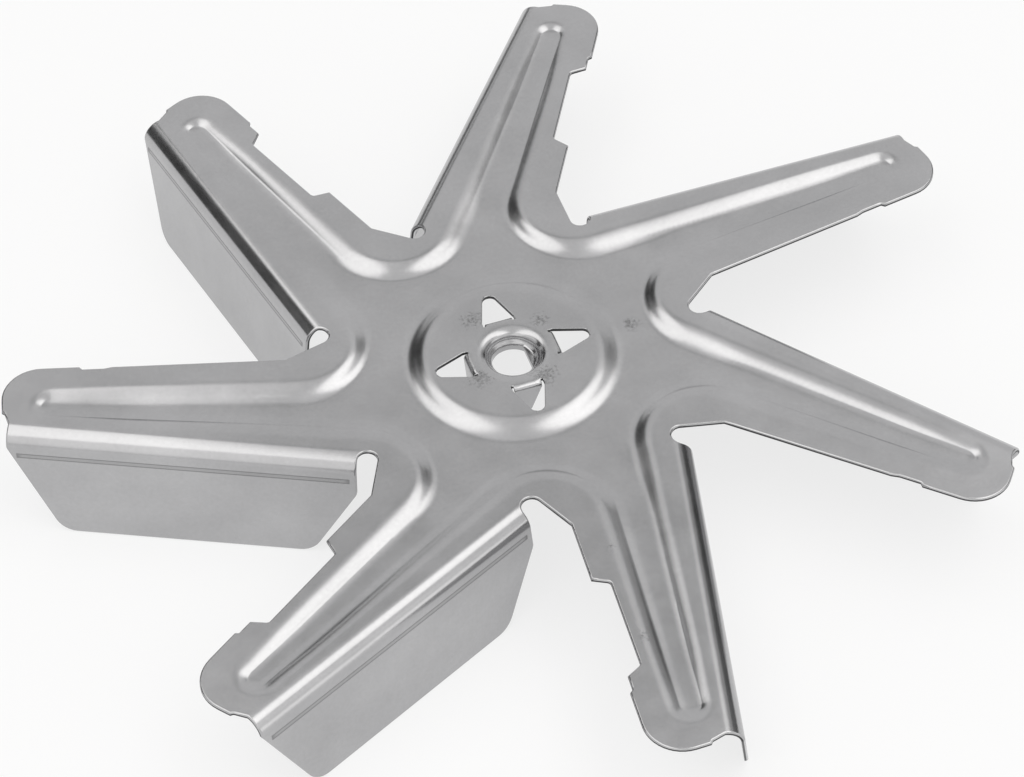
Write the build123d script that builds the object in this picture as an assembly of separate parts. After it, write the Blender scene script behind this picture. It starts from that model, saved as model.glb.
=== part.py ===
from build123d import *
import os
from math import atan2, cos, degrees, radians, sin, sqrt, tan

# Oven fan impeller, pressed and folded from one blank of sheet steel.
# The axis is +Z, the flat of the arms is at Z = 0 and the blades hang below it.
# +X runs along the fold of the first arm and square to the flat of the shaft hole.

# Sheet and overall size, in millimetres and degrees
SHEET = 0.6  # thickness of the sheet
ARMS = 7  # arms, each with one blade
TIP_RADIUS = 75.0  # axis to the round end of an arm
HEIGHT = 18.0  # top of the sheet to the lower edge of the blades

# Fold between arm and blade. Each arm has its own X along the fold and Y towards the blade.
FOLD_START = 20.95  # axis to the line where the sheet starts to bend
FOLD_RADIUS = 2.25  # inside of the bend
FOLD_ANGLE = 82.5  # turn of the bend, so the blade leans out a little
RELIEF_START = 16.95  # along the fold, near side of the slot that ends the bend
RELIEF_WIDTH = 3.0
RELIEF_PAST = 0.05  # the slot reaches this far past the start of the bend

# Blade outline, along the fold and down from the top of the sheet
BLADE_BACK = 3.8  # outer end of the bend, back from the tip radius
TIP_SHOULDER = 2.4  # depth at which the outer end turns into its slant
TIP_SLANT = 24.5  # slant of the outer end from upright
ROOT_SHOULDER = 6.2  # depth at which the inner end turns into its slant
ROOT_SLANT = 30.0
BLADE_CORNER = 3.5  # radius of both lower corners
SHOULDER_ROUND = 1.5

# Free edge of an arm, on the side away from its blade
EDGE_Y = -0.46  # where the line of the edge crosses X = 0 of the arm
EDGE_ANGLE = 8.87
PAD_LENGTH = 12.0  # round end pad, back from the tip radius
PAD_PROUD = 0.23  # the pad stands this far outside the line of the edge
PAD_CORNER = 5.6
NICK_LENGTH = 4.8  # shallow nick just before the pad
NICK_DEPTH = 0.25
NICK_RAMP = 1.2
STEP_Y = 18.9  # the pad's round end stops here, beside the bend
STEP_BACK = 0.45
RECESS_BACK = 2.8  # long recess in the free edge, this far before the pad
RECESS_LENGTH = 17.05
RECESS_DEPTH = 2.45
RECESS_LEAD = 0.7  # run of the recess's inner end
RECESS_TAIL = 1.7  # run of its outer end
RECESS_CORNER = 0.7
PLAIN_ARMS = (0, 3, 6)  # arms whose free edge has no recess

# Pressed star: a hub floor with one tapering rib along each arm, sunk below the flat
PRESS_DEPTH = 1.0
RIB_ROOT = 30.0  # along X, where the rib's inner widths are measured
RIB_BACK = 7.4  # middle of the rib's end wall, back from the tip radius
RIB_ROOT_SIDES = (10.7, 16.95)  # Y of the free-side and fold-side walls at the root, at half depth
RIB_END_SIDES = (15.3, 18.95)  # Y of the same two walls at the rib's end, at half depth
WALL_ROOT = (5.0, 4.4)  # widths of the two sloping walls at the root
WALL_END = (3.4, 3.0)  # widths of the two sloping walls at the rib's end
WALL_TIP = 3.2  # length of the slope that closes the rib's end
CROTCH_RADIUS = 9.55  # the wall's sweep from one rib to the next, at half depth
CROTCH_SPREAD = 5.9  # how much wider that sweep is at the floor than at the top
WALL_SLOPE = 0.35  # part of the wall's fall that is a plain slope, the rest is S-shaped
WALL_LEVELS = 5  # outlines that the wall runs through

# Hub disc, raised back to the flat by a round step
HUB_RADIUS = 12.2  # flat top of the disc
HUB_STEP = 4.3  # width of the round step
HUB_MARGIN = 2.0  # floor kept around the step

# Drawn collar with a D-shaped shaft hole
COLLAR_ENTRY = 5.7  # radius where the disc rolls down into the collar
COLLAR_THROAT = 3.8  # radius at the crease above the hole
THROAT_DEPTH = 1.3
BORE_RADIUS = 3.2
BORE_DEPTH = 1.8  # where the straight wall of the hole and its flat start
BORE_FLAT = 2.4  # axis to the flat of the D
COLLAR_DEPTH = 3.0

# Lanced tabs around the hole, folded down on their inner side
TAB_COUNT = 4
TAB_FOLD = 6.2  # axis to where the tab starts to bend
TAB_FOLD_RADIUS = 0.2
TAB_HALF_WIDTH = 2.3  # at the fold
TAB_DROP = 5.2  # top of the disc to the tab's tip
TAB_TIP_HALF_WIDTH = 0.65
TAB_CLEARANCE = 0.15  # window beside the tab
WINDOW_END = 11.85  # axis to the window's outer end

OUTER_FOLD = FOLD_RADIUS + SHEET
RELIEF_END = RELIEF_START + RELIEF_WIDTH
RELIEF_BOTTOM = FOLD_START - RELIEF_PAST
LEAN = 90 - FOLD_ANGLE
ARM_TURN = 360 / ARMS
BLADE_TIP = TIP_RADIUS - BLADE_BACK
PAD_START = TIP_RADIUS - PAD_LENGTH
NICK_START = PAD_START - NICK_LENGTH
RECESS_END = PAD_START - RECESS_BACK
RECESS_START = RECESS_END - RECESS_LENGTH
RIB_END = TIP_RADIUS - RIB_BACK


def turned(point, angle):
    """A plan point turned about the axis."""
    c, s = cos(radians(angle)), sin(radians(angle))
    return (c * point[0] - s * point[1], s * point[0] + c * point[1])


def crossing(a, b, c, d):
    """Where the line a-b crosses the line c-d."""
    ux, uy = b[0] - a[0], b[1] - a[1]
    vx, vy = d[0] - c[0], d[1] - c[1]
    t = ((c[0] - a[0]) * vy - (c[1] - a[1]) * vx) / (ux * vy - uy * vx)
    return (a[0] + t * ux, a[1] + t * uy)


def direction(a, b):
    """Angle of the line a-b from +X."""
    return degrees(atan2(b[1] - a[1], b[0] - a[0]))


def edge(x, inset=0.0):
    """A point of the free edge, moved into the arm by inset."""
    return (x, EDGE_Y + x * tan(radians(EDGE_ANGLE)) + inset / cos(radians(EDGE_ANGLE)))


def arm_plan(recessed):
    """Flat outline of one arm, from the axis to its round end."""
    before = turned((RELIEF_START, FOLD_START), -ARM_TURN)
    above = turned((RELIEF_START, FOLD_START + OUTER_FOLD), -ARM_TURN)
    corner = crossing(before, above, edge(0), edge(TIP_RADIUS))
    far = 2 * TIP_RADIUS
    step_x = sqrt(TIP_RADIUS**2 - STEP_Y**2)
    points = [(0, 0), before, corner]
    radii = [0, 0, 0]
    if recessed:
        points += [
            edge(RECESS_START),
            edge(RECESS_START + RECESS_LEAD, RECESS_DEPTH),
            edge(RECESS_END - RECESS_TAIL, RECESS_DEPTH),
            edge(RECESS_END, NICK_DEPTH),
        ]
        radii += [0, RECESS_CORNER, RECESS_CORNER, 0]
    else:
        points += [edge(NICK_START), edge(NICK_START + NICK_RAMP, NICK_DEPTH)]
        radii += [0, 0]
    points += [
        edge(PAD_START - NICK_DEPTH - PAD_PROUD, NICK_DEPTH),
        edge(PAD_START, -PAD_PROUD),
        edge(far, -PAD_PROUD),
        (far, STEP_Y),
        (step_x, STEP_Y),
        (step_x - STEP_BACK, STEP_Y + STEP_BACK / 2),
        (BLADE_TIP, FOLD_START),
        (RELIEF_START, FOLD_START),
    ]
    radii += [0] * 8
    outline = make_face(FilletPolyline(*points, radius=radii, close=True))
    outline = (outline & Circle(TIP_RADIUS)).face()
    pad = outline.vertices().sort_by_distance((far, edge(far, -PAD_PROUD)[1]))[0]
    return fillet(pad, PAD_CORNER)


def relief_slot():
    """Slot between an arm's blade and the next arm, round at its bottom."""
    r = RELIEF_WIDTH / 2
    middle = RELIEF_START + r
    upright = Pos(middle, RELIEF_BOTTOM + r + OUTER_FOLD) * Rectangle(RELIEF_WIDTH, 2 * OUTER_FOLD)
    return upright + Pos(middle, RELIEF_BOTTOM + r) * Circle(r)


def rib_outline(share):
    """Star outline part way down its sloping wall: share 0 is the top, 1 the floor."""
    out = 0.5 - share
    free = [
        (RIB_ROOT, RIB_ROOT_SIDES[0] - WALL_ROOT[0] * out),
        (RIB_END, RIB_END_SIDES[0] - WALL_END[0] * out),
    ]
    fold = [
        (RIB_ROOT, RIB_ROOT_SIDES[1] + WALL_ROOT[1] * out),
        (RIB_END, RIB_END_SIDES[1] + WALL_END[1] * out),
    ]
    before = [turned(p, -ARM_TURN) for p in fold]
    crotch = crossing(*before, *free)
    far = crossing(*free, *fold)
    half_angle = (direction(*free) - direction(*fold)) / 2
    middle = radians(direction(*free) - half_angle)
    reach = (far[0] - RIB_END - WALL_TIP * out) / cos(middle)
    tip_round = reach * sin(radians(half_angle)) / (1 - sin(radians(half_angle)))
    points, radii = [], []
    for k in range(ARMS):
        points += [turned(p, k * ARM_TURN) for p in (crotch, far)]
        radii += [CROTCH_RADIUS - CROTCH_SPREAD * out, tip_round]
    return make_face(FilletPolyline(*points, radius=radii, close=True))


def wall_drop(share):
    """Depth of the S-shaped wall: soft at the top, steepest half way, soft at the floor."""
    soft = 2 * share**2 if share < 0.5 else 1 - 2 * (1 - share) ** 2
    return PRESS_DEPTH * (WALL_SLOPE * share + (1 - WALL_SLOPE) * soft)


def pressed_star():
    """The sheet of the arms, with the star pressed into it, before it is trimmed."""
    shares = [i / WALL_LEVELS for i in range(WALL_LEVELS + 1)]
    pocket = loft([Pos(0, 0, -wall_drop(s)) * rib_outline(s) for s in shares])
    block_height = 4 * (PRESS_DEPTH + SHEET)
    block = Pos(0, 0, -block_height / 2) * Cylinder(TIP_RADIUS + PAD_CORNER, block_height)
    form = block - pocket
    return form - Pos(0, 0, -SHEET) * form


def hub():
    """Hub disc with its round step and drawn collar, one turned section of sheet."""
    step_end = HUB_RADIUS + HUB_STEP
    join = step_end + HUB_MARGIN
    half = HUB_RADIUS + HUB_STEP / 2
    rim = BORE_RADIUS + SHEET
    bend = HUB_STEP / 4
    step = [
        [(HUB_RADIUS, 0), (HUB_RADIUS + bend, 0), (half, -PRESS_DEPTH / 2)],
        [(half, -PRESS_DEPTH / 2), (step_end - bend, -PRESS_DEPTH), (step_end, -PRESS_DEPTH)],
    ]
    roll = [(COLLAR_ENTRY, 0), (COLLAR_THROAT, 0), (COLLAR_THROAT, -THROAT_DEPTH)]
    with BuildSketch(Plane.XZ) as section:
        with BuildLine():
            Line((join, -PRESS_DEPTH), (step_end, -PRESS_DEPTH))
            Bezier(*reversed(step[1]))
            Bezier(*reversed(step[0]))
            Line((HUB_RADIUS, 0), roll[0])
            Bezier(*roll)
            Polyline(
                roll[2],
                (BORE_RADIUS, -BORE_DEPTH),
                (BORE_RADIUS, -COLLAR_DEPTH),
                (rim, -COLLAR_DEPTH),
                (rim, -BORE_DEPTH - SHEET / 2),
                (COLLAR_THROAT + SHEET, -THROAT_DEPTH - SHEET / 2),
                (COLLAR_ENTRY, -SHEET),
                (HUB_RADIUS, -SHEET),
            )
            for curve in step:
                Bezier(*[(x, z - SHEET) for x, z in curve])
            Polyline(
                (step_end, -SHEET - PRESS_DEPTH),
                (join, -SHEET - PRESS_DEPTH),
                (join, -PRESS_DEPTH),
            )
        make_face()
    return revolve(section.sketch, Axis.Z), join


def collar_flat():
    """Flat side of the D hole: a ledge inside the collar."""
    depth = COLLAR_DEPTH - BORE_DEPTH
    disc = Pos(0, 0, -BORE_DEPTH - depth / 2) * Cylinder(BORE_RADIUS + SHEET / 2, depth)
    return disc & Pos(BORE_FLAT + COLLAR_ENTRY, 0, 0) * Box(*[2 * COLLAR_ENTRY] * 3)


def blade():
    """One blade with its bend, in its arm's own coordinates."""
    turn, lean = radians(FOLD_ANGLE), radians(LEAN)
    centre = (FOLD_START, -OUTER_FOLD)
    reach = 2 * HEIGHT
    bend = [
        [(centre[0] + r * sin(a), centre[1] + r * cos(a)) for a in (0, turn / 2, turn)]
        for r in (OUTER_FOLD, FOLD_RADIUS)
    ]
    low = [(p[2][0] + reach * sin(lean), p[2][1] - reach * cos(lean)) for p in bend]
    with BuildSketch(Plane.YZ) as section:
        with BuildLine():
            ThreePointArc(*bend[0])
            Polyline(bend[0][2], low[0], low[1], bend[1][2])
            ThreePointArc(*bend[1])
            Line(bend[1][0], bend[0][0])
        make_face()
    strip = extrude(section.sketch, 2 * TIP_RADIUS)
    tip = BLADE_TIP - (HEIGHT - TIP_SHOULDER) * tan(radians(TIP_SLANT))
    root = RELIEF_END + (HEIGHT - ROOT_SHOULDER) * tan(radians(ROOT_SLANT))
    with BuildSketch(Plane.XZ) as outline:
        with BuildLine():
            FilletPolyline(
                (RELIEF_START + RELIEF_WIDTH / 2, SHEET),
                (BLADE_TIP, SHEET),
                (BLADE_TIP, -TIP_SHOULDER),
                (tip, -HEIGHT),
                (root, -HEIGHT),
                (RELIEF_END, -ROOT_SHOULDER),
                (RELIEF_END, -OUTER_FOLD),
                (RELIEF_START + RELIEF_WIDTH / 2, -OUTER_FOLD),
                radius=[0, 0, SHOULDER_ROUND, BLADE_CORNER, BLADE_CORNER, SHOULDER_ROUND, 0, 0],
                close=True,
            )
        make_face()
    return strip & extrude(outline.sketch, -2 * TIP_RADIUS)


def tab():
    """One lanced tab, folded down square, with its bend."""
    outer = TAB_FOLD_RADIUS + SHEET
    with BuildSketch(Plane.XZ) as section:
        with BuildLine():
            RadiusArc((TAB_FOLD, 0), (TAB_FOLD + outer, -outer), outer)
            Polyline(
                (TAB_FOLD + outer, -outer),
                (TAB_FOLD + outer, -TAB_DROP),
                (TAB_FOLD + TAB_FOLD_RADIUS, -TAB_DROP),
                (TAB_FOLD + TAB_FOLD_RADIUS, -outer),
            )
            RadiusArc((TAB_FOLD + TAB_FOLD_RADIUS, -outer), (TAB_FOLD, -SHEET), -TAB_FOLD_RADIUS)
            Line((TAB_FOLD, -SHEET), (TAB_FOLD, 0))
        make_face()
    strip = extrude(section.sketch, TAB_HALF_WIDTH, both=True)
    with BuildSketch(Plane.YZ) as outline:
        with BuildLine():
            FilletPolyline(
                (-TAB_HALF_WIDTH, SHEET),
                (TAB_HALF_WIDTH, SHEET),
                (TAB_HALF_WIDTH, -outer),
                (TAB_TIP_HALF_WIDTH, -TAB_DROP),
                (-TAB_TIP_HALF_WIDTH, -TAB_DROP),
                (-TAB_HALF_WIDTH, -outer),
                radius=[0, 0, 0, 0.8 * TAB_TIP_HALF_WIDTH, 0.8 * TAB_TIP_HALF_WIDTH, 0],
                close=True,
            )
        make_face()
    return strip & extrude(outline.sketch, 2 * WINDOW_END)


def tab_window():
    """Window that the tab was cut from, with a little room beside the bend."""
    half = TAB_HALF_WIDTH + TAB_CLEARANCE
    bend_end = TAB_FOLD + TAB_FOLD_RADIUS + SHEET
    tip = TAB_TIP_HALF_WIDTH + TAB_CLEARANCE
    outline = FilletPolyline(
        (TAB_FOLD, -half),
        (bend_end, -half),
        (WINDOW_END, -tip),
        (WINDOW_END, tip),
        (bend_end, half),
        (TAB_FOLD, half),
        radius=[0, 2 * TAB_CLEARANCE, 0.8 * tip, 0.8 * tip, 2 * TAB_CLEARANCE, 0],
        close=True,
    )
    return make_face(outline)


def around(count, shape):
    """Copies of a shape spaced evenly about the axis."""
    return [Rot(0, 0, k * 360 / count) * shape for k in range(count)]


def blank_plan():
    """Outline of the whole sheet seen from above, without the blades."""
    plain, recessed = arm_plan(False), arm_plan(True)
    arms = [
        Rot(0, 0, k * ARM_TURN) * (plain if k in PLAIN_ARMS else recessed) for k in range(ARMS)
    ]
    half = RELIEF_WIDTH / 2
    corner = Pos(RELIEF_START + half / 2, FOLD_START + half / 2) * Rectangle(half, half)
    return Sketch() + arms + around(ARMS, corner) - around(ARMS, relief_slot())


hub_disc, hub_join = hub()
through = 4 * (PRESS_DEPTH + SHEET)
arms_sheet = pressed_star() & extrude(blank_plan(), through, both=True)
arms_sheet = arms_sheet - Cylinder(hub_join, 2 * through)
hub_disc = hub_disc - around(TAB_COUNT, extrude(tab_window(), 2 * SHEET, both=True))
hub_disc = hub_disc + around(TAB_COUNT, tab()) + collar_flat()
slot = extrude(relief_slot(), 2 * HEIGHT, both=True)
impeller = arms_sheet + hub_disc + around(ARMS, blade() - slot)

os.makedirs("parts", exist_ok=True)
export_step(impeller.solid(), "parts/impeller.step")
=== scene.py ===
# %% [markdown]
# # Rebuilding a pressed sheet impeller in Blender
# The part is one piece of thin bright sheet: a star with seven arms is cut out, a shallow star
# is pressed into the middle, and the long edge of every arm is folded down into a blade.
# The construction model holds the exact shape. This scene forms the sheet once more, finely
# enough for its reflections, and adds the light and the surface.
# We first load the model.

# %% load the construction model
from math import acos, asin, atan2, cos, degrees, hypot, pi, radians, sin, sqrt, tan
import bmesh
import bpy
import numpy as np
from mathutils import Matrix, Quaternion, Vector
from mathutils.geometry import delaunay_2d_cdt
from mathutils.kdtree import KDTree


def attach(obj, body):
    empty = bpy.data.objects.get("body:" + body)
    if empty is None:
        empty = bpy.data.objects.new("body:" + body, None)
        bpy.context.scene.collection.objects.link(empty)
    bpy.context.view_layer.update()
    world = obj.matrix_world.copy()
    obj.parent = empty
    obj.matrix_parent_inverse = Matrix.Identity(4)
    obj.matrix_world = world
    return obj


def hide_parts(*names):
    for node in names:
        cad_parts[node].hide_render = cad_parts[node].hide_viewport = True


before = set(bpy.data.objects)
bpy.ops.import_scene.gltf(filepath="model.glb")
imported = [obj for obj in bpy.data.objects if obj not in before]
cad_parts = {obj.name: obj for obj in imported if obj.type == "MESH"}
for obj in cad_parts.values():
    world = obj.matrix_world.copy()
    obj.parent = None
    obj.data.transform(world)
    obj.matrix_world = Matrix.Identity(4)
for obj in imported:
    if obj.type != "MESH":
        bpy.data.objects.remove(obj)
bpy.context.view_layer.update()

MM = 0.001
solid = bpy.data.objects["impeller"]
print("loaded", solid.name, "with", len(solid.data.polygons), "faces")

# %% [markdown]
# ## Where the photographer stood
# A product photo of a flat part is usually taken from half above, with a long lens so that
# near and far arms keep nearly the same scale. The camera looks at a point close to the hub,
# from a little left of the front, and it is held a degree and a half off level.

# %% camera
AIM = Vector((-2.432, -6.587, 0.0)) * MM
DISTANCE = 514.87 * MM
AZIMUTH = radians(-17.817)
ELEVATION = radians(49.056)
ROLL = radians(-1.585)
SENSOR = 36.0
LENS = 124.39

back = Vector((sin(AZIMUTH) * cos(ELEVATION), -cos(AZIMUTH) * cos(ELEVATION), sin(ELEVATION)))
camera = bpy.data.objects.new("camera", bpy.data.cameras.new("camera"))
bpy.context.collection.objects.link(camera)
camera.location = AIM + back * DISTANCE
camera.rotation_mode = "QUATERNION"
camera.rotation_quaternion = (-back).to_track_quat("-Z", "Y") @ Quaternion((0, 0, 1), ROLL)
camera.data.sensor_width = SENSOR
camera.data.lens = LENS
bpy.context.scene.camera = camera
print("camera", round(camera.location.length, 4), "m from the shaft axis")

# %% [markdown]
# ## A small helper for node trees
# Every surface below is a node tree. Three short functions make an empty tree, add a node with
# its settings and links, and add one sum, so the later cells read as a list of what the
# surface is made of.

# %% node helpers


def new_tree(name):
    material = bpy.data.materials.new(name)
    material.use_nodes = True
    material.node_tree.nodes.clear()
    return material


def add(tree, kind, inputs=None, **settings):
    node = tree.nodes.new("ShaderNode" + kind)
    for key, value in settings.items():
        setattr(node, key, value)
    for key, value in (inputs or {}).items():
        if isinstance(value, bpy.types.NodeSocket):
            tree.links.new(value, node.inputs[key])
        else:
            node.inputs[key].default_value = value
    return node


def math(tree, operation, *values):
    return add(tree, "Math", dict(enumerate(values)), operation=operation).outputs[0]


print("helpers ready")

# %% [markdown]
# ## The white table and the white room
# Bright metal has little colour of its own: it shows the room. The part lies on a plain white
# table and the room around it is a soft pale grey, which is what the flat sheet mirrors.
# The camera, and the metal that mirrors the table, see it mostly as plain white paper, with
# a share of the lit table kept so that the part's soft shadow stays.

# %% floor and surround
HEIGHT = 18.0
FLOOR_Z = -HEIGHT * MM
FLOOR_SIZE = 40.0
FLOOR_COLOUR = (0.80, 0.80, 0.80, 1.0)
PAPER_SHARE = 0.75
ROOM = 0.82


def seen_rays(tree):
    """One for what the camera, a mirror or a window sees, none for the light on the part."""
    path = add(tree, "LightPath").outputs
    seen = math(tree, "MAXIMUM", path["Is Camera Ray"], path["Is Glossy Ray"])
    return math(tree, "MAXIMUM", seen, path["Is Transmission Ray"])


table = new_tree("white_table")
tree = table.node_tree
paint = add(tree, "BsdfDiffuse", {"Color": FLOOR_COLOUR})
paper = add(tree, "Emission", {"Color": (1, 1, 1, 1), "Strength": 1.0})
share = math(tree, "MULTIPLY", seen_rays(tree), PAPER_SHARE)
surface = add(tree, "MixShader", {0: share, 1: paint.outputs[0], 2: paper.outputs[0]})
tree.links.new(surface.outputs[0], add(tree, "OutputMaterial").inputs["Surface"])

bpy.ops.mesh.primitive_plane_add(size=FLOOR_SIZE, location=(0, 0, FLOOR_Z))
floor = bpy.context.object
floor.name = "floor"
floor.data.materials.append(table)

world = bpy.data.worlds.new("pale_room")
bpy.context.scene.world = world
world.use_nodes = True
tree = world.node_tree
tree.nodes.clear()
path = add(tree, "LightPath")
level = math(tree, "MULTIPLY_ADD", path.outputs["Is Camera Ray"], 1.0 - ROOM, ROOM)
sky = add(tree, "Background", {"Color": (1, 1, 1, 1), "Strength": level})
tree.links.new(sky.outputs[0], add(tree, "OutputWorld").inputs["Surface"])
print("floor at", FLOOR_Z / MM, "mm, room level", ROOM)

# %% [markdown]
# ## Soft panels and dark boards
# The pressed walls tell where the lamps stood. Each bend that faces the viewer shows two white
# streaks with a greyer one between: two long soft panels hung above the part, one left and
# one right, running away from the camera, and lower panels closed the front. Bends that face
# sideways are nearly black, so narrow dark boards stood there. We place everything as seen
# from the part: metres to the right, away from the camera, and up.

# %% panels and boards
ACROSS = Vector((cos(AZIMUTH), sin(AZIMUTH), 0.0))
AWAY = Vector((-sin(AZIMUTH), cos(AZIMUTH), 0.0))
UP = Vector((0.0, 0.0, 1.0))
LAMP_COLOUR = (1.0, 0.985, 0.965)

# Place, width, length and radiance of each panel.
PANELS = {
    "panel_over_left": ((-0.41, -0.02, 1.00), 0.50, 1.34, 1.15),
    "panel_over_right": ((0.43, 0.02, 1.00), 0.48, 1.34, 1.32),
    "panel_front_left": ((-0.34, -1.00, 0.62), 0.80, 1.00, 0.48),
    "panel_front_right": ((0.72, -0.72, 0.50), 1.15, 1.05, 0.25),
    "panel_low_right": ((1.00, -0.40, 0.10), 0.50, 0.55, 0.5),
    "panel_side_left": ((-0.98, -0.30, 0.80), 0.40, 1.00, 0.32),
    "panel_side_right": ((0.98, 0.05, 0.80), 0.40, 1.10, 0.15),
}

# Two ends, width and grey of each board.
BOARDS = {
    "board_left": ((-0.600, 0.310, 0.738), (-0.985, 0.15, 0.0), 0.26, 0.0),
    "board_left_back": ((-0.487, 0.505, 0.713), (-0.440, 0.831, 0.340), 0.26, 0.02),
    "board_left_far": ((-0.577, 0.665, 0.474), (-0.770, 0.593, 0.233), 0.24, 0.08),
    "board_left_low": ((-0.360, 0.930, 0.090), (-0.860, 0.500, 0.090), 0.26, 0.12),
    "board_over": ((-0.16, 0.57, 0.82), (0.16, 0.57, 0.82), 0.13, 0.5),
    "board_right_inner": ((0.400, 0.640, 0.656), (0.591, 0.633, 0.500), 0.27, 0.35),
    "board_right_back": ((0.610, 0.620, 0.494), (0.756, 0.646, 0.0), 0.30, 0.05),
    "board_right": ((0.947, -0.083, 0.309), (0.720, 0.600, 0.309), 0.40, 0.35),
}


def studio_place(right, away, up):
    return ACROSS * right + AWAY * away + UP * up


def facing_part(place):
    """Turns an item to face the part, with its length running away from the camera."""
    look = place.normalized()
    side = AWAY.cross(look).normalized()
    along = look.cross(side)
    return Matrix((side, along, look)).transposed().to_quaternion()


def panel(name, place, width, length, radiance):
    lamp = bpy.data.lights.new(name, "AREA")
    lamp.shape = "RECTANGLE"
    lamp.size = width
    lamp.size_y = length
    lamp.energy = radiance * pi * width * length
    lamp.color = LAMP_COLOUR
    item = bpy.data.objects.new(name, lamp)
    bpy.context.collection.objects.link(item)
    item.location = studio_place(*place)
    item.rotation_mode = "QUATERNION"
    item.rotation_quaternion = facing_part(item.location)
    item.visible_camera = False
    return item


def board(name, one_end, other_end, width, grey):
    """A dark board that reaches from one end to the other, facing the part."""
    top, bottom = studio_place(*one_end), studio_place(*other_end)
    middle = (top + bottom) / 2
    bpy.ops.mesh.primitive_plane_add(size=1.0, location=middle)
    item = bpy.context.object
    item.name = name
    item.scale = (width, (top - bottom).length, 1.0)
    along = (top - bottom).normalized()
    side = along.cross(middle).normalized()
    item.rotation_mode = "QUATERNION"
    item.rotation_quaternion = Matrix((side, along, side.cross(along))).transposed().to_quaternion()
    item.visible_camera = False
    felt = new_tree(name + "_felt")
    glow = add(felt.node_tree, "Emission", {"Color": (grey, grey, grey, 1), "Strength": 1.0})
    felt.node_tree.links.new(glow.outputs[0], add(felt.node_tree, "OutputMaterial").inputs[0])
    item.data.materials.append(felt)
    return item


for name, values in PANELS.items():
    panel(name, *values)
for name, values in BOARDS.items():
    board(name, *values)
print(len(PANELS), "panels and", len(BOARDS), "boards")

# %% [markdown]
# ## Why the sheet is formed a second time
# Bright metal shows every facet. The construction mesh is exact but coarse: across the soft
# wall of a pressed rib it has only one or two faces, so its reflection would break. We form
# the same sheet again, from the same sizes, on a fine mesh of its upper side, and give it its
# thickness afterwards, just as the press forms a flat blank.

# %% sizes of the sheet, in millimetres and degrees
SHEET = 0.6
ARMS = 7
ARM_TURN = 360 / ARMS
TIP_RADIUS = 75.0
FOLD_START = 20.95
FOLD_ANGLE = 82.5
LEAN = 90 - FOLD_ANGLE
OUTER_FOLD = 2.85
RELIEF_START = 16.95
RELIEF_WIDTH = 3.0
RELIEF_OVERLAP = 0.05
RELIEF_ROUND = RELIEF_WIDTH / 2
RELIEF_MIDDLE = RELIEF_START + RELIEF_ROUND
RELIEF_CENTRE = FOLD_START - RELIEF_OVERLAP + RELIEF_ROUND
BLADE_TIP = TIP_RADIUS - 3.8
PLAIN_ARMS = (0, 3, 6)
print("sheet of", SHEET, "mm with", ARMS, "arms")

# %% [markdown]
# ## Outlines from corners and radii
# A punch cuts straight runs joined by small arcs. `rounded` walks along such an outline and
# returns points close enough together for a smooth edge.

# %% outline helpers


def turned(point, angle):
    c, s = cos(radians(angle)), sin(radians(angle))
    return (c * point[0] - s * point[1], s * point[0] + c * point[1])


def crossing(a, b, c, d):
    ux, uy = b[0] - a[0], b[1] - a[1]
    vx, vy = d[0] - c[0], d[1] - c[1]
    t = ((c[0] - a[0]) * vy - (c[1] - a[1]) * vx) / (ux * vy - uy * vx)
    return (a[0] + t * ux, a[1] + t * uy)


def heading(a, b):
    return degrees(atan2(b[1] - a[1], b[0] - a[0]))


def run(a, b, count):
    """Points from a up to, but not including, b."""
    return [(a[0] + (b[0] - a[0]) * i / count, a[1] + (b[1] - a[1]) * i / count) for i in range(count)]


def spaced(a, b, gap):
    return run(a, b, max(1, round(hypot(b[0] - a[0], b[1] - a[1]) / gap)))


def arc(centre, radius, start, end, count):
    """Points of an arc, both ends included, angles in degrees."""
    turns = [radians(start + (end - start) * i / count) for i in range(count + 1)]
    return [(centre[0] + radius * cos(t), centre[1] + radius * sin(t)) for t in turns]


ROUND_STEPS = 6


def corner_arc(before, corner, after, radius, count):
    """The arc of one radius that rounds a corner between two straight runs."""
    a = Vector(before) - Vector(corner)
    b = Vector(after) - Vector(corner)
    half = a.angle(b) / 2
    centre = Vector(corner) + (a.normalized() + b.normalized()).normalized() * radius / sin(half)
    foot_a = Vector(corner) + a.normalized() * radius / tan(half)
    foot_b = Vector(corner) + b.normalized() * radius / tan(half)
    start = heading(centre, foot_a)
    turn = (heading(centre, foot_b) - start + 180) % 360 - 180
    return arc(centre, radius, start, start + turn, count)


def rounded(points, radii, gap, closed=False):
    """An outline of straight runs with rounded corners."""
    pieces = []
    last = len(points) - 1
    for i, (point, radius) in enumerate(zip(points, radii)):
        if radius == 0 or (not closed and i in (0, last)):
            pieces.append([point])
        else:
            after = points[(i + 1) % len(points)]
            pieces.append(corner_arc(points[i - 1], point, after, radius, ROUND_STEPS))
    outline = []
    for i, piece in enumerate(pieces):
        outline += piece[:-1]
        if closed or i < last:
            outline += spaced(piece[-1], pieces[(i + 1) % len(pieces)][0], gap)
    return outline if closed else outline + [pieces[-1][-1]]


print("outline helpers ready")

# %% [markdown]
# ## The blank's edge
# Each arm has a free edge with a shallow nick or a long recess, a round pad at its end, and
# the fold line of its blade. A round-bottomed slot separates the bend from the next arm, so
# the sheet doesn't tear when the blade is folded. Walking round the arms in turn gives one
# closed outline.

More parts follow.
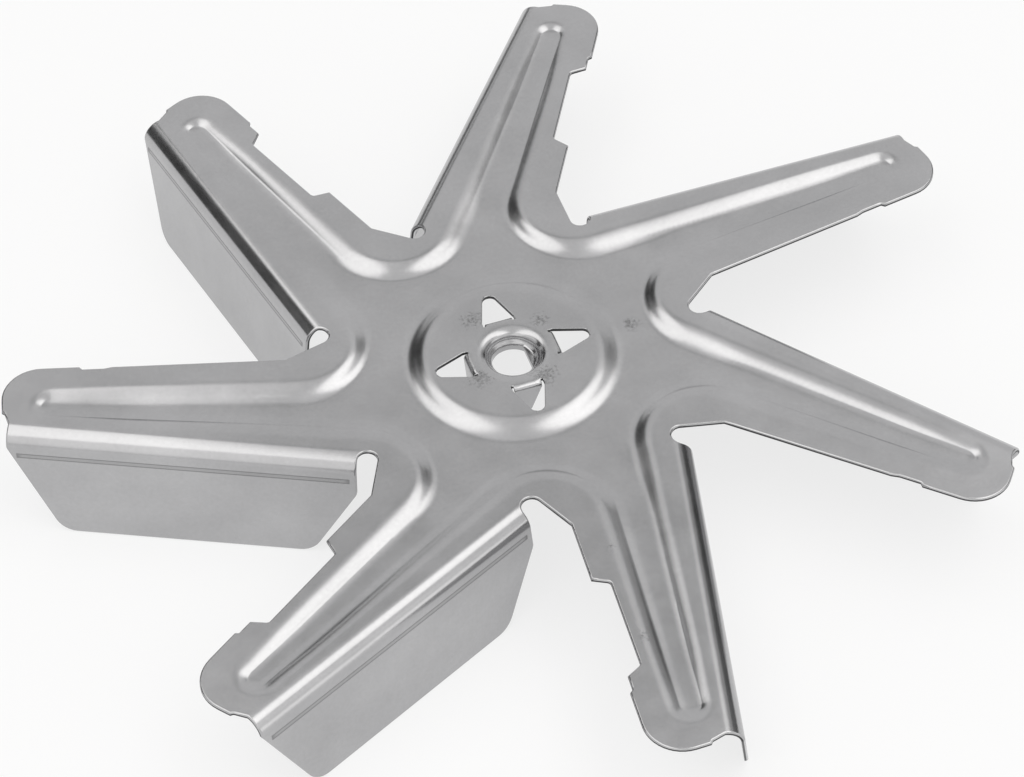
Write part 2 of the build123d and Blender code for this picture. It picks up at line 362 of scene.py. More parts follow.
# %% outline of the blank
EDGE_Y = -0.46
EDGE_ANGLE = radians(8.87)
PAD_START = TIP_RADIUS - 12.0
PAD_PROUD = 0.23
PAD_CORNER = 5.6
NICK_START = PAD_START - 4.8
NICK_DEPTH = 0.25
NICK_RAMP = 1.2
STEP_Y = 18.9
STEP_BACK = 0.45
RECESS_END = PAD_START - 2.8
RECESS_START = RECESS_END - 17.05
RECESS_DEPTH = 2.45
RECESS_LEAD = 0.7
RECESS_TAIL = 1.7
RECESS_CORNER = 0.7
EDGE_GAP = 1.2
FOLD_STEPS = 52
CORNER_STEPS = 12
TIP_STEPS = 14
SLOT_STEPS = 14


def free_edge(x, inset=0.0):
    return (x, EDGE_Y + x * tan(EDGE_ANGLE) + inset / cos(EDGE_ANGLE))


def pad_end():
    """From the pad's straight side round its corner and along the arm's round end."""
    side = free_edge(0, PAD_CORNER - PAD_PROUD)
    along = Vector((cos(EDGE_ANGLE), sin(EDGE_ANGLE)))
    start = Vector(side) - along * Vector(side).dot(along)
    reach = sqrt((TIP_RADIUS - PAD_CORNER) ** 2 - start.length_squared)
    centre = start + along * reach
    out = heading((0, 0), centre)
    step = degrees(asin(STEP_Y / TIP_RADIUS))
    corner = arc(centre, PAD_CORNER, degrees(EDGE_ANGLE) - 90, out, CORNER_STEPS)
    return corner[:-1] + arc((0, 0), TIP_RADIUS, out, step, TIP_STEPS)


slot_reach = sqrt(RELIEF_ROUND**2 - (RELIEF_CENTRE - FOLD_START) ** 2)
slot_turn = -degrees(acos(slot_reach / RELIEF_ROUND))
fold_stops = run((RELIEF_MIDDLE + slot_reach, FOLD_START), (BLADE_TIP, FOLD_START), FOLD_STEPS)
fold_stops.append((BLADE_TIP, FOLD_START))


def arm_edge(recessed):
    """Cut edge of one arm from the slot before it to the slot after it."""
    before = turned((RELIEF_START, RELIEF_CENTRE), -ARM_TURN)
    above = turned((RELIEF_START, RELIEF_CENTRE + 1), -ARM_TURN)
    corner = crossing(before, above, free_edge(0), free_edge(TIP_RADIUS))
    pad = pad_end()
    points, radii = [before, corner], [0, 0]
    if recessed:
        points += [
            free_edge(RECESS_START),
            free_edge(RECESS_START + RECESS_LEAD, RECESS_DEPTH),
            free_edge(RECESS_END - RECESS_TAIL, RECESS_DEPTH),
            free_edge(RECESS_END, NICK_DEPTH),
        ]
        radii += [0, RECESS_CORNER, RECESS_CORNER, 0]
    else:
        points += [free_edge(NICK_START), free_edge(NICK_START + NICK_RAMP, NICK_DEPTH)]
        radii += [0, 0]
    points += [
        free_edge(PAD_START - NICK_DEPTH - PAD_PROUD, NICK_DEPTH),
        free_edge(PAD_START, -PAD_PROUD),
        pad[0],
    ]
    radii += [0, 0, 0]
    outline = rounded(points, radii, EDGE_GAP)[:-1] + pad
    last = outline[-1]
    outline += [(last[0] - STEP_BACK, STEP_Y + STEP_BACK / 2)]
    outline += spaced(outline[-1], fold_stops[-1], EDGE_GAP)[1:] + fold_stops[::-1]
    return outline + relief_arc()


def relief_arc():
    """Bottom of the slot, from the fold line round to its far side."""
    return arc((RELIEF_MIDDLE, RELIEF_CENTRE), RELIEF_ROUND, slot_turn, -180, SLOT_STEPS)[1:-1]


blank = []
for k in range(ARMS):
    blank += [turned(p, k * ARM_TURN) for p in arm_edge(k not in PLAIN_ARMS)]
print("blank outline of", len(blank), "points")

# %% [markdown]
# ## The pressed star
# The press sinks a hub floor and one tapering rib along every arm. Round the hub its wall
# falls in a soft S. Along a rib the sheet bends over a large radius and meets the punch's
# edge in a crease, and the rib is shallower there than the hub floor. We lay one row of
# points along the star for each step down that wall, so that the mesh follows the form.

# %% rows of points down the star's wall
PRESS_DEPTH = 1.0
RIB_ROOT = 30.0
RIB_END = TIP_RADIUS - 7.4
RIB_ROOT_SIDES = (10.7, 16.95)
RIB_END_SIDES = (15.3, 18.95)
WALL_ROOT = (5.0, 4.4)
WALL_END = (3.4, 3.0)
WALL_TIP = 3.2
CROTCH_RADIUS = 9.55
CROTCH_SPREAD = 5.9
RIB_DEPTHS = (0.80, 0.50)
RIB_BLEND = (27.0, 36.0)
RIB_RUNOUT = (54.0, 71.0)
CREASE = 0.62
CREASE_LEFT = 0.4
SWEEP_STEPS = 22
END_STEPS = 12
SIDE_STEPS = 56
WALL_SHARES = (-0.1, 0, 0.1, 0.2, 0.3, 0.4, 0.5, 0.57, 0.62, 0.67, 0.74, 0.82, 0.9, 1.0)


def star_row(share):
    """Points along the star's outline part way down its wall, 0 at the top and 1 at the floor."""
    out = 0.5 - share
    free = [
        (RIB_ROOT, RIB_ROOT_SIDES[0] - WALL_ROOT[0] * out),
        (RIB_END, RIB_END_SIDES[0] - WALL_END[0] * out),
    ]
    fold = [
        (RIB_ROOT, RIB_ROOT_SIDES[1] + WALL_ROOT[1] * out),
        (RIB_END, RIB_END_SIDES[1] + WALL_END[1] * out),
    ]
    crotch = crossing(*[turned(p, -ARM_TURN) for p in fold], *free)
    following = turned(crotch, ARM_TURN)
    far = crossing(*free, *fold)
    half = radians(heading(*free) - heading(*fold)) / 2
    middle = radians(heading(*free)) - half
    reach = (far[0] - RIB_END - WALL_TIP * out) / cos(middle)
    tip_round = reach * sin(half) / (1 - sin(half))
    previous = turned(far, -ARM_TURN)
    sweep = corner_arc(previous, crotch, far, CROTCH_RADIUS - CROTCH_SPREAD * out, SWEEP_STEPS)
    end_arc = corner_arc(crotch, far, following, tip_round, END_STEPS)
    row = sweep[:-1] + run(sweep[-1], end_arc[0], SIDE_STEPS)
    row += end_arc[:-1] + run(end_arc[-1], turned(sweep[0], ARM_TURN), SIDE_STEPS)
    return [turned(p, k * ARM_TURN) for k in range(ARMS) for p in row]


def soft_step(share):
    """An S from 0 to 1."""
    share = min(1.0, max(0.0, share))
    return 2 * share**2 if share < 0.5 else 1 - 2 * (1 - share) ** 2


def creased_step(share):
    """A fall from 0 to 1 that steepens to a crease and then eases off."""
    share = min(1.0, max(0.0, share))
    fall = min(share, CREASE) ** 2 / (2 * CREASE)
    past = max(0.0, share - CREASE)
    fall += CREASE_LEFT * (past - past**2 / (2 * (1 - CREASE)))
    return fall / (CREASE / 2 + CREASE_LEFT * (1 - CREASE) / 2)


def star_depth(x, y, share):
    """Depth of the press: a soft wall round the hub, a creased and shallower one on a rib."""
    reach = hypot(x, y)
    rib = soft_step((reach - RIB_BLEND[0]) / (RIB_BLEND[1] - RIB_BLEND[0]))
    runout = soft_step((reach - RIB_RUNOUT[0]) / (RIB_RUNOUT[1] - RIB_RUNOUT[0]))
    depth = RIB_DEPTHS[0] + (RIB_DEPTHS[1] - RIB_DEPTHS[0]) * runout
    return (1 - rib) * PRESS_DEPTH * soft_step(share) + rib * depth * creased_step(share)


formed = [(x, y, -star_depth(x, y, s)) for s in WALL_SHARES for x, y in star_row(s)]
floor_edge = star_row(1.0)
print("star wall:", len(WALL_SHARES), "rows,", len(formed), "points")

# %% [markdown]
# ## Hub disc, collar and windows
# In the middle the floor rises again over a round step to a flat disc. Four small tabs are
# lanced out of it and folded down, which leaves four windows, and the hole for the shaft is
# drawn down into a collar.

# %% rows of the hub
HUB_RADIUS = 12.2
HUB_STEP = 4.3
HUB_ROWS = 10
HUB_COLUMNS = 144
COLLAR_ENTRY = 5.7
COLLAR_RIM = 0.25
COLLAR_COLUMNS = 96
TAB_COUNT = 4
TAB_FOLD = 6.2
TAB_BEND = 0.8
TAB_HALF = 2.1
TAB_TIP_HALF = 0.45
TAB_DROP = 5.2
TAB_CLEARANCE = 0.35
WINDOW_END = 11.85
WINDOW_ROUND = 0.55
WINDOW_TIP_ROUND = 1.05
TAB_STEPS = 8
TAB_GAP = 0.6


def ring(radius, columns):
    return [(radius * cos(t), radius * sin(t)) for t in (2 * pi * j / columns for j in range(columns))]


for row in range(-1, HUB_ROWS + 2):
    share = row / HUB_ROWS
    level = PRESS_DEPTH * soft_step(share)
    formed += [(x, y, -level) for x, y in ring(HUB_RADIUS + HUB_STEP * share, HUB_COLUMNS)]
formed += [(x, y, 0.0) for x, y in ring(COLLAR_ENTRY + COLLAR_RIM, COLLAR_COLUMNS)]

window_half = TAB_HALF + TAB_CLEARANCE
window_tip = TAB_TIP_HALF + TAB_CLEARANCE
tab_stops = run((TAB_FOLD, TAB_HALF), (TAB_FOLD, -TAB_HALF), TAB_STEPS) + [(TAB_FOLD, -TAB_HALF)]
window = rounded(
    [
        (TAB_FOLD, -window_half),
        (TAB_FOLD + TAB_BEND, -window_half),
        (WINDOW_END, -window_tip),
        (WINDOW_END, window_tip),
        (TAB_FOLD + TAB_BEND, window_half),
        (TAB_FOLD, window_half),
    ],
    [0, WINDOW_ROUND, WINDOW_TIP_ROUND, WINDOW_TIP_ROUND, WINDOW_ROUND, 0],
    TAB_GAP,
) + tab_stops
windows = [[turned(p, k * 360 / TAB_COUNT) for p in window] for k in range(TAB_COUNT)]
print("hub:", len(windows), "windows")

# %% [markdown]
# ## Filling an outline with faces
# Blender can triangulate points inside an outline. We add a loose grid of points where
# nothing else lies, so that no face grows long and thin, and drop what falls outside.

# %% fill helper
SLIVER = 0.0005


def inside(points, outline):
    """Which points lie inside a closed outline."""
    p = np.asarray(points, float).reshape(-1, 2)
    a = np.asarray(outline, float)
    b = np.roll(a, -1, axis=0)
    found = np.zeros(len(p), bool)
    for (ax, ay), (bx, by) in zip(a, b):
        if ay == by:
            continue
        rows = (ay > p[:, 1]) != (by > p[:, 1])
        found ^= rows & (p[:, 0] < (bx - ax) * (p[:, 1] - ay) / (by - ay) + ax)
    return found


def loose_grid(taken, outline, holes, gap):
    """Grid points inside the outline that keep clear of points already taken."""
    tree = KDTree(len(taken))
    for i, p in enumerate(taken):
        tree.insert((p[0], p[1], 0), i)
    tree.balance()
    low, high = np.min(outline, axis=0), np.max(outline, axis=0)
    xs, ys = np.arange(low[0], high[0], gap), np.arange(low[1], high[1], gap)
    grid = [(x + gap / 2 * (j % 2), y) for j, y in enumerate(ys) for x in xs]
    keep = inside(grid, outline)
    for hole in holes:
        keep &= ~inside(grid, hole)
    grid = [p for p, k in zip(grid, keep) if k]
    return [p for p in grid if tree.find((p[0], p[1], 0))[2] > gap / 2]


def filled(outline, holes, inner):
    """Triangles over an outline with holes, using the inner points."""
    points, edges = [], []
    for loop in [outline] + holes:
        first = len(points)
        points += [tuple(p[:2]) for p in loop]
        edges += [(first + i, first + (i + 1) % len(loop)) for i in range(len(loop))]
    points += [tuple(p[:2]) for p in inner]
    result = delaunay_2d_cdt([Vector(p) for p in points], edges, [], 0, 1e-6)
    flat, faces, source = result[0], result[2], result[3]
    middles = [sum((flat[i] for i in f), Vector((0, 0))) / 3 for f in faces]
    areas = np.array([abs((flat[b] - flat[a]).cross(flat[c] - flat[a])) / 2 for a, b, c in faces])
    keep = inside(middles, outline) & (areas > SLIVER)
    for hole in holes:
        keep &= ~inside(middles, hole)
    return [tuple(p) for p in flat], [f for f, k in zip(faces, keep) if k], source


vertices, triangles = [], []


def collect(points, faces, turns=(0.0,)):
    """Adds a formed patch to the sheet, once for each turn about the axis."""
    for turn in turns:
        first = len(vertices)
        vertices.extend((*turned(p, turn), p[2]) for p in points)
        triangles.extend(tuple(first + i for i in f) for f in faces)


print("fill helper ready")

# %% [markdown]
# ## The flat of the arms with the star and hub pressed in
# Every row laid out so far is seen from above. We fill the blank's outline with faces through
# all these points and give each point the depth it is pressed to. The windows and the hole for
# the collar stay open. One more row beside each fold line keeps the flat level up to the bend.

# %% form the flat
FOLD_MARGIN = 0.4
FLAT_GAP = 2.2

fold_row = [(x, y - FOLD_MARGIN, 0.0) for x, y in fold_stops[1:-1]]
formed += [(*turned(p, k * ARM_TURN), 0.0) for k in range(ARMS) for p in fold_row]
entry = ring(COLLAR_ENTRY, COLLAR_COLUMNS)
holes = windows + [entry]
edge_points = blank + [p for hole in holes for p in hole]
loose = loose_grid(edge_points + formed, blank, holes, FLAT_GAP)
sunk = inside(loose, floor_edge) & ~inside(loose, ring(HUB_RADIUS + HUB_STEP / 2, HUB_COLUMNS))
floor_levels = [-star_depth(*p, 1.0) if s else 0.0 for p, s in zip(loose, sunk)]
levels = [0.0] * len(edge_points) + [p[2] for p in formed] + floor_levels
flat, faces, source = filled(blank, holes, formed + loose)
collect([(*p, levels[source[i][0]] if source[i] else 0.0) for i, p in enumerate(flat)], faces)
print("flat:", len(faces), "faces")

# %% [markdown]
# ## Folding the blades
# A blade is drawn flat, along the fold and down the sheet, and every point is then carried
# round the bend: first along the arc, then straight down, leaning out a little.

# %% form the blades
TIP_SHOULDER = 2.4
TIP_SLANT = radians(24.5)
ROOT_SHOULDER = 6.2
ROOT_SLANT = radians(30)
BLADE_CORNER = 3.5
SHOULDER_ROUND = 1.5
BEND_ROWS = 14
ROOT_BEND = 0.46
ROOT_MARGIN = 0.3
BLADE_EDGE_GAP = 0.9
BLADE_GAP = 2.4
RELIEF_END = RELIEF_START + RELIEF_WIDTH

bend_turn, lean = radians(FOLD_ANGLE), radians(LEAN)
bend_length = OUTER_FOLD * bend_turn
bend_foot = OUTER_FOLD * (1 - cos(bend_turn))
blade_depth = HEIGHT - SHEET * sin(lean)


def along_sheet(depth):
    """Length of sheet from the fold line down to a depth."""
    if depth < bend_foot:
        return OUTER_FOLD * acos(1 - depth / OUTER_FOLD)
    return bend_length + (depth - bend_foot) / cos(lean)


def folded(x, length):
    """Where a point of the flat blade ends up after folding."""
    turn = min(length, bend_length) / OUTER_FOLD
    rest = max(0.0, length - bend_length)
    y = FOLD_START + OUTER_FOLD * sin(turn) + rest * sin(lean)
    return (x, y, -OUTER_FOLD * (1 - cos(turn)) - rest * cos(lean))


bend_depths = [OUTER_FOLD * (1 - cos(bend_turn * i / BEND_ROWS)) for i in range(BEND_ROWS + 1)]
tip_side = [(BLADE_TIP, depth) for depth in bend_depths if depth < TIP_SHOULDER - FOLD_MARGIN]
root_side = [(RELIEF_END, depth) for depth in bend_depths if depth > ROOT_BEND]
shoulders = [
    (BLADE_TIP, TIP_SHOULDER),
    (BLADE_TIP - (HEIGHT - TIP_SHOULDER) * tan(TIP_SLANT), blade_depth),
    (RELIEF_END + (HEIGHT - ROOT_SHOULDER) * tan(ROOT_SLANT), blade_depth),
    (RELIEF_END, ROOT_SHOULDER),
]
shoulder_radii = [SHOULDER_ROUND, BLADE_CORNER, BLADE_CORNER, SHOULDER_ROUND]
sides = rounded(
    tip_side + shoulders + root_side[::-1],
    [0] * len(tip_side) + shoulder_radii + [0] * len(root_side),
    BLADE_EDGE_GAP,
)
slot_edge = arc((RELIEF_MIDDLE, RELIEF_CENTRE), RELIEF_ROUND, 0, slot_turn, SLOT_STEPS // 2)
slot_edge = [(x, OUTER_FOLD * asin((y - FOLD_START) / OUTER_FOLD)) for x, y in slot_edge]
blade_edge = [(x, 0.0) for x, _ in fold_stops]
blade_edge = blade_edge[:-1] + [(x, along_sheet(z)) for x, z in sides] + slot_edge[:-1]
rows = [bend_length * i / BEND_ROWS for i in range(1, BEND_ROWS + 1)] + [bend_length + FOLD_MARGIN]
bend_points = [(x, row) for row in rows for x, _ in fold_stops[2:-1]]
bend_points = [p for p, k in zip(bend_points, inside(bend_points, blade_edge)) if k]
bend_points = [p for p in bend_points if p[0] > RELIEF_END + ROOT_MARGIN]
bend_points += loose_grid(blade_edge + bend_points, blade_edge, [], BLADE_GAP)
flat, faces, _ = filled(blade_edge, [], bend_points)
collect([folded(*p) for p in flat], faces, [k * ARM_TURN for k in range(ARMS)])
print("blade:", len(faces), "faces, folded", ARMS, "times")

# %% [markdown]
# ## Tabs and collar
# The tabs fold down sharply at their inner side. The collar is a turned shape: the disc rolls
# down, narrows to the hole, and one side of the hole is flat to hold the shaft.

# %% form the tabs and the collar
COLLAR_THROAT = 3.8
THROAT_DEPTH = 1.3
BORE_RADIUS = 3.2
BORE_DEPTH = 1.8
BORE_FLAT = 2.4
COLLAR_DEPTH = 3.0
ROLL_ROWS = 12
BORE_ROWS = 3
TAB_ROWS = 6
TAB_TIP_SHARE = 0.8

tab_bend = TAB_BEND * pi / 2
tab_length = tab_bend + TAB_DROP - TAB_BEND
tab_tip_round = TAB_TIP_SHARE * TAB_TIP_HALF
tab_edge = rounded(
    [
        (0, -TAB_HALF),
        (tab_bend, -TAB_HALF),
        (tab_length, -TAB_TIP_HALF),
        (tab_length, TAB_TIP_HALF),
        (tab_bend, TAB_HALF),
        (0, TAB_HALF),
    ],
    [0, 0, tab_tip_round, tab_tip_round, 0, 0],
    TAB_GAP,
) + [(0, y) for _, y in tab_stops[1:-1]]
tab_inner = [
    (tab_bend * i / TAB_ROWS, y) for i in range(1, TAB_ROWS + 1) for _, y in tab_stops[1:-1]
]


def tab_folded(length, y):
    turn = min(length, tab_bend) / TAB_BEND
    rest = max(0.0, length - tab_bend)
    return (TAB_FOLD + TAB_BEND * sin(turn), y, -TAB_BEND * (1 - cos(turn)) - rest)


flat, faces, _ = filled(tab_edge, [], tab_inner)
collect([tab_folded(*p) for p in flat], faces, [k * 360 / TAB_COUNT for k in range(TAB_COUNT)])

collar = []
for i in range(ROLL_ROWS + 1):
    t = i / ROLL_ROWS
    collar.append((COLLAR_ENTRY + (COLLAR_THROAT - COLLAR_ENTRY) * t * (2 - t), -THROAT_DEPTH * t * t))
collar += [((COLLAR_THROAT + BORE_RADIUS) / 2, -(THROAT_DEPTH + BORE_DEPTH) / 2)]
collar += [(BORE_RADIUS, -BORE_DEPTH)] * 2
collar += [(BORE_RADIUS, -(BORE_DEPTH + COLLAR_DEPTH) / 2), (BORE_RADIUS, -COLLAR_DEPTH)]
points, faces = [], []
for i, (radius, z) in enumerate(collar):
    for x, y in ring(radius, COLLAR_COLUMNS):
        flat_side = i >= len(collar) - BORE_ROWS
        points.append((min(x, BORE_FLAT) if flat_side else x, y, z))
for i in range(len(collar) - 1):
    for j in range(COLLAR_COLUMNS):
        k = (j + 1) % COLLAR_COLUMNS
        a, b = i * COLLAR_COLUMNS, (i + 1) * COLLAR_COLUMNS
        faces.append((a + j, a + k, b + k, b + j))
collect(points, faces)
print("sheet so far:", len(vertices), "points")

# %% [markdown]
# ## One sheet with a thickness
# All patches share their seam points, so merging them gives one sheet. A Solidify modifier
# adds the thickness below it and gives the cut edge a material slot of its own.

# %% join the sheet
MERGE = 0.004
COLLAPSE = 0.002
COATED, CUT = 0, 1

mesh = bpy.data.meshes.new("upper_side")
mesh.from_pydata([Vector(v) * MM for v in vertices], [], triangles)
form = bmesh.new()
form.from_mesh(mesh)
bmesh.ops.remove_doubles(form, verts=form.verts, dist=MERGE * MM)
bmesh.ops.dissolve_degenerate(form, edges=form.edges, dist=COLLAPSE * MM)
form.edges.index_update()
edge_count = len(form.edges)
cut_edges = [edge.index for edge in form.edges if edge.is_boundary]
form.to_mesh(mesh)
form.free()
sheet = bpy.data.objects.new("pressed_sheet", mesh)
bpy.context.collection.objects.link(sheet)
thick = sheet.modifiers.new("thickness", "SOLIDIFY")
thick.thickness = SHEET * MM
thick.offset = -1.0
thick.use_even_offset = True
thick.use_quality_normals = True
thick.material_offset_rim = CUT
for slot in (COATED, CUT):
    mesh.materials.append(None)
print("sheet:", len(mesh.vertices), "points,", len(cut_edges), "cut edges")

# %% [markdown]
# ## Edges as a punch leaves them
# A punch drags the upper corner of the sheet down as it cuts, and leaves the lower corner
# almost sharp. That soft upper corner catches a white line of light all round the part. We keep
# the thick sheet as a mesh, give its upper cut edges full bevel weight and its lower ones
# little, and let a Bevel modifier round them. The small windows of the hub were lanced with less
# clearance, so their edges are rounded less. Hardened normals keep the flats flat.

# %% round the cut edges
EDGE_ROUND = 0.27
EDGE_STEPS = 4
LOWER_SHARE = 0.15
HUB_SHARE = 0.35
HUB_REACH = 14.0

graph = bpy.context.evaluated_depsgraph_get()
thick_mesh = bpy.data.meshes.new_from_object(sheet.evaluated_get(graph))
thick_mesh.name = "pressed_sheet"
sheet.modifiers.clear()
sheet.data = thick_mesh
weights = np.zeros(len(thick_mesh.edges))
for i in cut_edges:
    start = thick_mesh.vertices[thick_mesh.edges[i].vertices[0]].co
    reach = start.xy.length / MM
    upper = HUB_SHARE if reach < HUB_REACH else 1.0
    weights[i] = upper
    weights[edge_count + i] = LOWER_SHARE * upper
thick_mesh.attributes.new("bevel_weight_edge", "FLOAT", "EDGE").data.foreach_set("value", weights)
thick_mesh.polygons.foreach_set("use_smooth", [True] * len(thick_mesh.polygons))
soft_edge = sheet.modifiers.new("soft_edges", "BEVEL")
soft_edge.limit_method = "WEIGHT"
soft_edge.width = EDGE_ROUND * MM
soft_edge.segments = EDGE_STEPS
soft_edge.material = COATED
soft_edge.loop_slide = False
soft_edge.use_clamp_overlap = False
soft_edge.harden_normals = True
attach(sheet, "root")
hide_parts("impeller")
print("thick sheet:", len(thick_mesh.polygons), "faces before the edges are rounded")

# %% [markdown]
# ## Satin coated sheet
# The sheet is steel with a thin aluminium coat: a neutral silver grey with a soft sheen. Rolling
# and pressing leave it uneven, so the grey drifts over a few centimetres, clouds at a few
# millimetres and has a fine grain, and the gloss drifts with it. All of it comes from noise in
# the part's own millimetres, so it stays in place from every side.

# %% coat: drift, clouds and grain
SHEET_GREY = (0.448, 0.447, 0.453)
CLOUD_SIZES = {"drift": 22.0, "cloud": 5.0, "grain": 0.55}
CLOUD_WEIGHTS = {"drift": 0.16, "cloud": 0.07, "grain": 0.05}
ROUGHNESS = 0.215
ROUGHNESS_DRIFT = 0.07
GRAIN_HEIGHT = 0.0015 * MM
WAVE_HEIGHT = 0.012 * MM


def clouds(tree, place, size, detail=2.0):
    """Noise about half, with clouds of one size in millimetres."""
    inputs = {"Vector": place, "Scale": 1 / (size * MM), "Detail": detail}
    return add(tree, "TexNoise", inputs).outputs["Fac"]


satin = new_tree("satin_coated_sheet")
tree = satin.node_tree
place = add(tree, "TexCoord").outputs["Object"]
noise = {name: clouds(tree, place, size) for name, size in CLOUD_SIZES.items()}
tone = 1.0
for name, weight in CLOUD_WEIGHTS.items():
    change = math(tree, "MULTIPLY", math(tree, "SUBTRACT", noise[name], 0.5), 2 * weight)
    tone = math(tree, "ADD", tone, change)
gloss = math(tree, "MULTIPLY_ADD", noise["cloud"], ROUGHNESS_DRIFT, ROUGHNESS - ROUGHNESS_DRIFT / 2)
print("coat of", len(noise), "layers of noise")

# %% [markdown]
# ## Marks of the folding tool
# The folding tool's lip has left a narrow double line along every blade, a little below the
# bend. Seven arms share one description: the angle round the axis is wrapped into one arm's
# turn, which gives every point its length along the arm and its distance across it.

# %% die marks on the blades
MARK_DEPTH = 3.6
MARK_HALF = 0.42
MARK_RUN = (21.0, 69.7)
MARK_DARK = 0.42
MARK_END = 1.2
MARK_EDGE = 0.15
LINE_FROM = 0.62
LINE_TO = 0.95
LINE_SOFT = 0.2
MIDDLE_TO = 0.6
MIDDLE_SOFT = 0.3
MIDDLE_SHARE = 0.35
ARM_SEAM = 5
BLADE_REACH = (20.0, 90.0)
REACH_SOFT = 0.5


def band(tree, value, low, high, soft):
    """One between two limits, falling to none over a soft length outside them."""
    up = add(tree, "MapRange", {0: value, 1: low - soft, 2: low}).outputs[0]
    down = add(tree, "MapRange", {0: value, 1: high, 2: high + soft, 3: 1.0, 4: 0.0}).outputs[0]
    return math(tree, "MULTIPLY", up, down)


axes = add(tree, "SeparateXYZ", {0: place}).outputs
x, y, z = (math(tree, "MULTIPLY", axes[i], 1 / MM) for i in range(3))
squares = [math(tree, "MULTIPLY", side, side) for side in (x, y)]
reach = math(tree, "SQRT", math(tree, "ADD", *squares))
seam = (radians(ARM_TURN + ARM_SEAM), radians(ARM_SEAM))
around = math(tree, "WRAP", math(tree, "ARCTAN2", y, x), *seam)
along = math(tree, "MULTIPLY", reach, math(tree, "COSINE", around))
height = math(tree, "ABSOLUTE", math(tree, "DIVIDE", math(tree, "ADD", z, MARK_DEPTH), MARK_HALF))
lines = band(tree, height, LINE_FROM, LINE_TO, LINE_SOFT)
inner = math(tree, "MULTIPLY", band(tree, height, -1.0, MIDDLE_TO, MIDDLE_SOFT), MIDDLE_SHARE)
ends = band(tree, along, MARK_RUN[0] + MARK_END, MARK_RUN[1] - MARK_END, MARK_END)
whole = band(tree, along, *MARK_RUN, MARK_EDGE)
on_blade = math(tree, "MULTIPLY", whole, band(tree, reach, *BLADE_REACH, REACH_SOFT))
marks = math(tree, "MAXIMUM", lines, math(tree, "MAXIMUM", inner, math(tree, "SUBTRACT", 1.0, ends)))
marks = math(tree, "MULTIPLY", marks, band(tree, height, -1.0, LINE_TO, LINE_SOFT))
marks = math(tree, "MULTIPLY", marks, on_blade)
print("die marks", MARK_DEPTH, "mm below the arms")

# %% [markdown]
# ## Smudges and scratches
# Shop dirt has stayed where the tabs were folded, and one arm has a few dull scratches. Each is
# a soft spot round a point. Coarse noise pulls its outline about and fine noise breaks it up.

# %% dirt
SMUDGES = [
    ((2.95, -5.76), 1.3),
    ((-6.16, -3.08), 1.1),
    ((-3.63, 8.12), 1.1),
    ((5.84, 4.69), 0.9),
    ((18.66, 0.12), 0.9),
    ((0.9, -39.0), 0.5),
    ((-3.6, -48.6), 0.5),
    ((-0.36, -55.28), 0.5),
]
SMUDGE_GRAIN = 0.4
SMUDGE_DETAIL = 3.0
SMUDGE_WARP = 2.6
WARP_SIZE = 1.1
SMUDGE_SPREAD = 2.2
SPOT_WEIGHT = 0.34
SPOT_EDGE = 0.3
DIRT_FROM = 0.62
DIRT_TO = 0.90
DIRT_LEVELS = (-1.6, 1.0)
LEVEL_SOFT = 0.1
DIRT = (0.045, 0.045, 0.045, 1.0)
DIRT_SHARE = 0.5

warp = add(tree, "TexNoise", {"Vector": place, "Scale": 1 / (WARP_SIZE * MM), "Detail": 1.0})
shift = add(tree, "SeparateXYZ", {0: warp.outputs["Color"]}).outputs
top_x = math(tree, "MULTIPLY_ADD", math(tree, "SUBTRACT", shift[0], 0.5), SMUDGE_WARP, x)
top_y = math(tree, "MULTIPLY_ADD", math(tree, "SUBTRACT", shift[1], 0.5), SMUDGE_WARP, y)
top = add(tree, "CombineXYZ", {0: top_x, 1: top_y, 2: 0.0}).outputs[0]
spots = 0.0
for (spot_x, spot_y), radius in SMUDGES:
    spot = {0: top, 1: (spot_x, spot_y, 0)}
    far = add(tree, "VectorMath", spot, operation="DISTANCE").outputs["Value"]
    near = add(tree, "MapRange", {0: far, 1: 0.0, 2: SMUDGE_SPREAD * radius, 3: 1.0, 4: 0.0}).outputs[0]
    spots = math(tree, "MAXIMUM", spots, near)
on_top = band(tree, z, *DIRT_LEVELS, LEVEL_SOFT)
crumbs = clouds(tree, place, SMUDGE_GRAIN, SMUDGE_DETAIL)
dirty = math(tree, "ADD", crumbs, math(tree, "MULTIPLY", spots, SPOT_WEIGHT))
dirty = add(tree, "MapRange", {0: dirty, 1: DIRT_FROM, 2: DIRT_TO}).outputs[0]
near_spot = add(tree, "MapRange", {0: spots, 1: 0.0, 2: SPOT_EDGE}).outputs[0]
dirty = math(tree, "MULTIPLY", dirty, near_spot)
dirty = math(tree, "MULTIPLY", math(tree, "MULTIPLY", dirty, on_top), DIRT_SHARE)
print(len(SMUDGES), "smudges")

# %% [markdown]
# ## The coat together
# The coat's grey takes the drift, the die marks and the dirt. Marks and dirt are duller than the
# clean coat, and two faint bumps keep the reflections from being perfect: slow waves left by
# rolling, and the fine grain of the coat.

# %% sheet material
MARK_ROUGH = 0.2

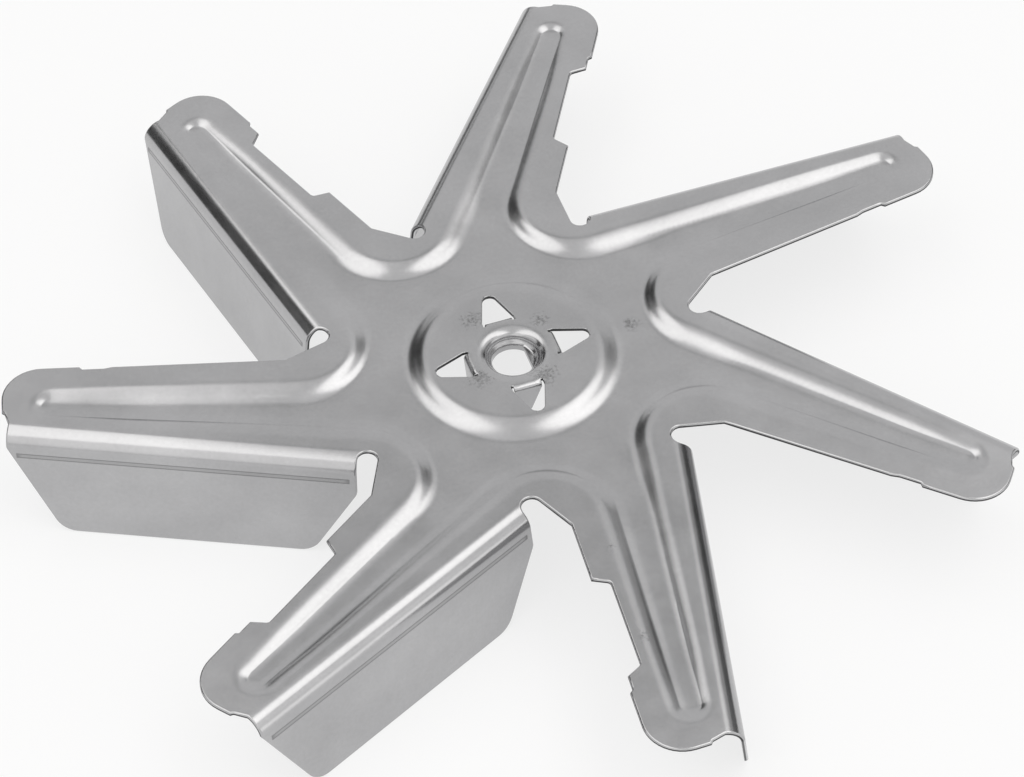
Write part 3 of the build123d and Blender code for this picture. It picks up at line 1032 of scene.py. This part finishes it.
tone = math(tree, "MULTIPLY", tone, math(tree, "MULTIPLY_ADD", marks, -MARK_DARK, 1.0))
grey = add(tree, "VectorMath", {0: SHEET_GREY, "Scale": tone}, operation="SCALE").outputs[0]
grey = add(tree, "Mix", {0: dirty, 6: grey, 7: DIRT}, data_type="RGBA").outputs[2]
rough = math(tree, "MULTIPLY_ADD", math(tree, "MAXIMUM", dirty, marks), MARK_ROUGH, gloss)
waves = add(tree, "Bump", {"Height": noise["cloud"], "Distance": WAVE_HEIGHT, "Strength": 1.0}).outputs[0]
grain = {"Height": noise["grain"], "Distance": GRAIN_HEIGHT, "Strength": 1.0, "Normal": waves}
grain = add(tree, "Bump", grain).outputs[0]
coat = {"Base Color": grey, "Metallic": 1.0, "Roughness": rough, "Normal": grain}
metal = add(tree, "BsdfPrincipled", coat)
tree.links.new(metal.outputs[0], add(tree, "OutputMaterial").inputs["Surface"])

print("coat", satin.name, "with", len(tree.nodes), "nodes")

# %% [markdown]
# ## The cut edge, darkened with painted shade
# A shear cuts part of the way through the sheet and tears the rest. The edge has no coat, so it
# is bare steel, dull and a little uneven. Its grey is painted near black, much darker than bare
# steel, as painted shade: it shows as a thin dark line below the bright rounded corner, the way
# an edge in shadow does.

# %% cut edge material
# Painted shade: these two near-black greys make the cut edge look as if it lay in shadow.
CUT_SHADE_DARK = (0.03, 0.03, 0.031, 1.0)
CUT_SHADE_PALE = (0.10, 0.10, 0.103, 1.0)
SHEAR_SIZE = 0.35
SHEAR_DETAIL = 3.0
CUT_ROUGH = 0.35
CUT_ROUGH_DRIFT = 0.2
RIDGE_HEIGHT = 0.01 * MM

cut = new_tree("sheared_edge_painted_shade")
tree = cut.node_tree
place = add(tree, "TexCoord").outputs["Object"]
shear = clouds(tree, place, SHEAR_SIZE, SHEAR_DETAIL)
# The edge's grey is mixed from the two painted-shade greys.
steel_and_shade = add(tree, "Mix", {0: shear, 6: CUT_SHADE_DARK, 7: CUT_SHADE_PALE}, data_type="RGBA").outputs[2]
dull = math(tree, "MULTIPLY_ADD", shear, CUT_ROUGH_DRIFT, CUT_ROUGH)
ridges = add(tree, "Bump", {"Height": shear, "Distance": RIDGE_HEIGHT, "Strength": 1.0}).outputs[0]
bare = {"Base Color": steel_and_shade, "Metallic": 1.0, "Roughness": dull, "Normal": ridges}
metal = add(tree, "BsdfPrincipled", bare)
tree.links.new(metal.outputs[0], add(tree, "OutputMaterial").inputs["Surface"])

sheet.data.materials[COATED] = satin
sheet.data.materials[CUT] = cut
print("materials", satin.name, "and", cut.name)

# %% [markdown]
# ## A plain view
# The picture is shown through Blender's standard view transform.

bpy.context.scene.view_settings.view_transform = "Standard"
